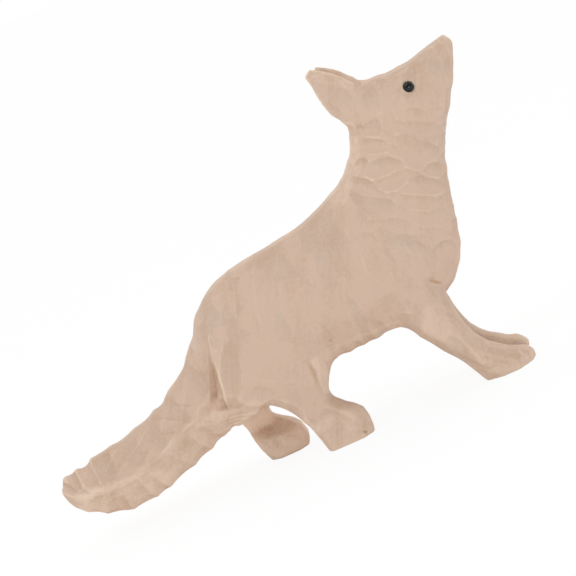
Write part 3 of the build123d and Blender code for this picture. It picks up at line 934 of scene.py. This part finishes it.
def eye_bead(name, node_name, side, glass):
    """A bead turned from its profile about the line across the head."""
    low, high = (np.array(corner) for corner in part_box(node_name))
    middle = (low + high) / 2
    half_width = (high[0] - low[0]) / 2
    angles = np.linspace(0, 2 * math.pi, EYE_SEGMENTS, endpoint=False)
    shape = bmesh.new()
    rings = []
    for radius, out in BEAD_PROFILE:
        spots = [np.array((radius * math.cos(a), side * out, radius * math.sin(a))) for a in angles]
        rings.append([shape.verts.new(middle + half_width * spot) for spot in spots])
    for first, second in zip(rings, rings[1:]):
        for i in range(EYE_SEGMENTS):
            j = (i + 1) % EYE_SEGMENTS
            shape.faces.new((first[i], first[j], second[j], second[i]))
    bmesh.ops.remove_doubles(shape, verts=shape.verts, dist=0.001 * MM)
    bmesh.ops.recalc_face_normals(shape, faces=shape.faces)
    mesh = bpy.data.meshes.new(name)
    shape.to_mesh(mesh)
    shape.free()
    mesh.polygons.foreach_set("use_smooth", [True] * len(mesh.polygons))
    mesh.materials.append(glass)
    bead = bpy.data.objects.new(name, mesh)
    bpy.context.scene.collection.objects.link(bead)
    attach(bead, "root")
    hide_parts(node_name)


glass = black_glass()
eye_bead("right_glass_eye", "right_eye_bead", NEAR, glass)
eye_bead("left_glass_eye", "left_eye_bead", FAR, glass)


# Stems. Each bead was melted onto a short length of drawn steel wire, which is hidden in its
# drilled hole in the head. The CAD wires stay as they are and only get their material.
STEEL_GREY = "#a3a19d"
DIE_LINE_WIDTH = 0.05
DIE_LINE_LENGTH = 4.0


def drawn_wire():
    """Cold-drawn steel: dull metal with fine die lines."""
    material, tree = blank_material("drawn_steel_wire")
    place = node(tree, "ShaderNodeTexCoord", {}, {}).outputs["Object"]
    drawn = node(tree, "ShaderNodeMapping", {}, {
        "Vector": place,
        "Scale": (1 / (DIE_LINE_WIDTH * MM), 1 / (DIE_LINE_LENGTH * MM), 1 / (DIE_LINE_WIDTH * MM))})
    lines = node(tree, "ShaderNodeTexNoise", {}, {"Vector": drawn.outputs[0], "Scale": 1.0, "Detail": 2.0})
    dullness = node(tree, "ShaderNodeMapRange", {}, {0: lines.outputs["Fac"], 3: 0.25, 4: 0.50})
    shader = node(tree, "ShaderNodeBsdfPrincipled", {}, {
        "Base Color": linear(STEEL_GREY), "Metallic": 1.0, "Roughness": dullness.outputs[0]})
    node(tree, "ShaderNodeOutputMaterial", {}, {"Surface": shader.outputs[0]})
    return material


wire = drawn_wire()
for name in ("right_eye_stem", "left_eye_stem"):
    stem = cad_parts[name]
    stem.data.materials.clear()
    stem.data.materials.append(wire)


# Floor and studio. A plain white sheet under wide soft lamps, which keeps a faint shadow. The
# room is dimmer in front of the figure than behind it.
FLOOR_SIZE = 60.0
FLOOR_SHADE = "#fcfcfc"
SHADOW_SHARE = 0.10
WHITE = (1, 1, 1, 1)
ROOM_LIGHT = 0.92
FRONT_DIMMING = 0.68


def shown_white(tree, lit, white, share):
    """Something that lights the figure as it is, and that the camera sees whitened by a share."""
    seen = node(tree, "ShaderNodeLightPath", {}, {}).outputs["Is Camera Ray"]
    factor = node(tree, "ShaderNodeMath", {"operation": "MULTIPLY"}, {0: seen, 1: share})
    return node(tree, "ShaderNodeMixShader", {}, {
        0: factor.outputs[0], 1: lit.outputs[0], 2: white.outputs[0]}).outputs[0]


def white_paper():
    """Matt white paper: no gloss, and little of the shadow on it shows."""
    material, tree = blank_material("white_backdrop_paper")
    matt = node(tree, "ShaderNodeBsdfDiffuse", {}, {"Color": linear(FLOOR_SHADE)})
    white = node(tree, "ShaderNodeEmission", {}, {"Color": WHITE, "Strength": 1.0})
    paper = shown_white(tree, matt, white, 1 - SHADOW_SHARE)
    node(tree, "ShaderNodeOutputMaterial", {}, {"Surface": paper})
    return material


half = FLOOR_SIZE / 2
floor_mesh = bpy.data.meshes.new("white_floor")
floor_corners = [(-half, -half, 0), (half, -half, 0), (half, half, 0), (-half, half, 0)]
floor_mesh.from_pydata(floor_corners, [], [(0, 1, 2, 3)])
floor_mesh.materials.append(white_paper())
floor = bpy.data.objects.new("white_floor", floor_mesh)
bpy.context.scene.collection.objects.link(floor)

world = bpy.data.worlds.new("white_studio")
world.use_nodes = True
room = world.node_tree
room.nodes.clear()
towards = node(room, "ShaderNodeTexCoord", {}, {}).outputs["Generated"]
depth = node(room, "ShaderNodeSeparateXYZ", {}, {0: towards}).outputs["Y"]
level = weighted_sum(room, ROOM_LIGHT, [(depth, ROOM_LIGHT * FRONT_DIMMING)])
soft = node(room, "ShaderNodeBackground", {}, {"Color": WHITE, "Strength": level})
white = node(room, "ShaderNodeBackground", {}, {"Color": WHITE, "Strength": 1.0})
node(room, "ShaderNodeOutputWorld", {}, {"Surface": shown_white(room, soft, white, 1.0)})
bpy.context.scene.world = world


def soft_lamp(name, place, size, power):
    """A square lamp that faces the figure: its place and its side in metres, its power in watts."""
    lamp_data = bpy.data.lights.new(name, "AREA")
    lamp_data.size = size
    lamp_data.energy = power
    lamp = bpy.data.objects.new(name, lamp_data)
    lamp.location = place
    lamp.rotation_euler = (Vector(place) - VIEW_CENTRE).to_track_quat("Z", "Y").to_euler()
    bpy.context.scene.collection.objects.link(lamp)


soft_lamp("key_softbox", (-0.20, -0.30, 0.60), 0.20, 0.75)
soft_lamp("low_front_softbox", (0.10, -0.80, 0.04), 0.20, 1.75)
bpy.context.scene.view_settings.view_transform = "Standard"
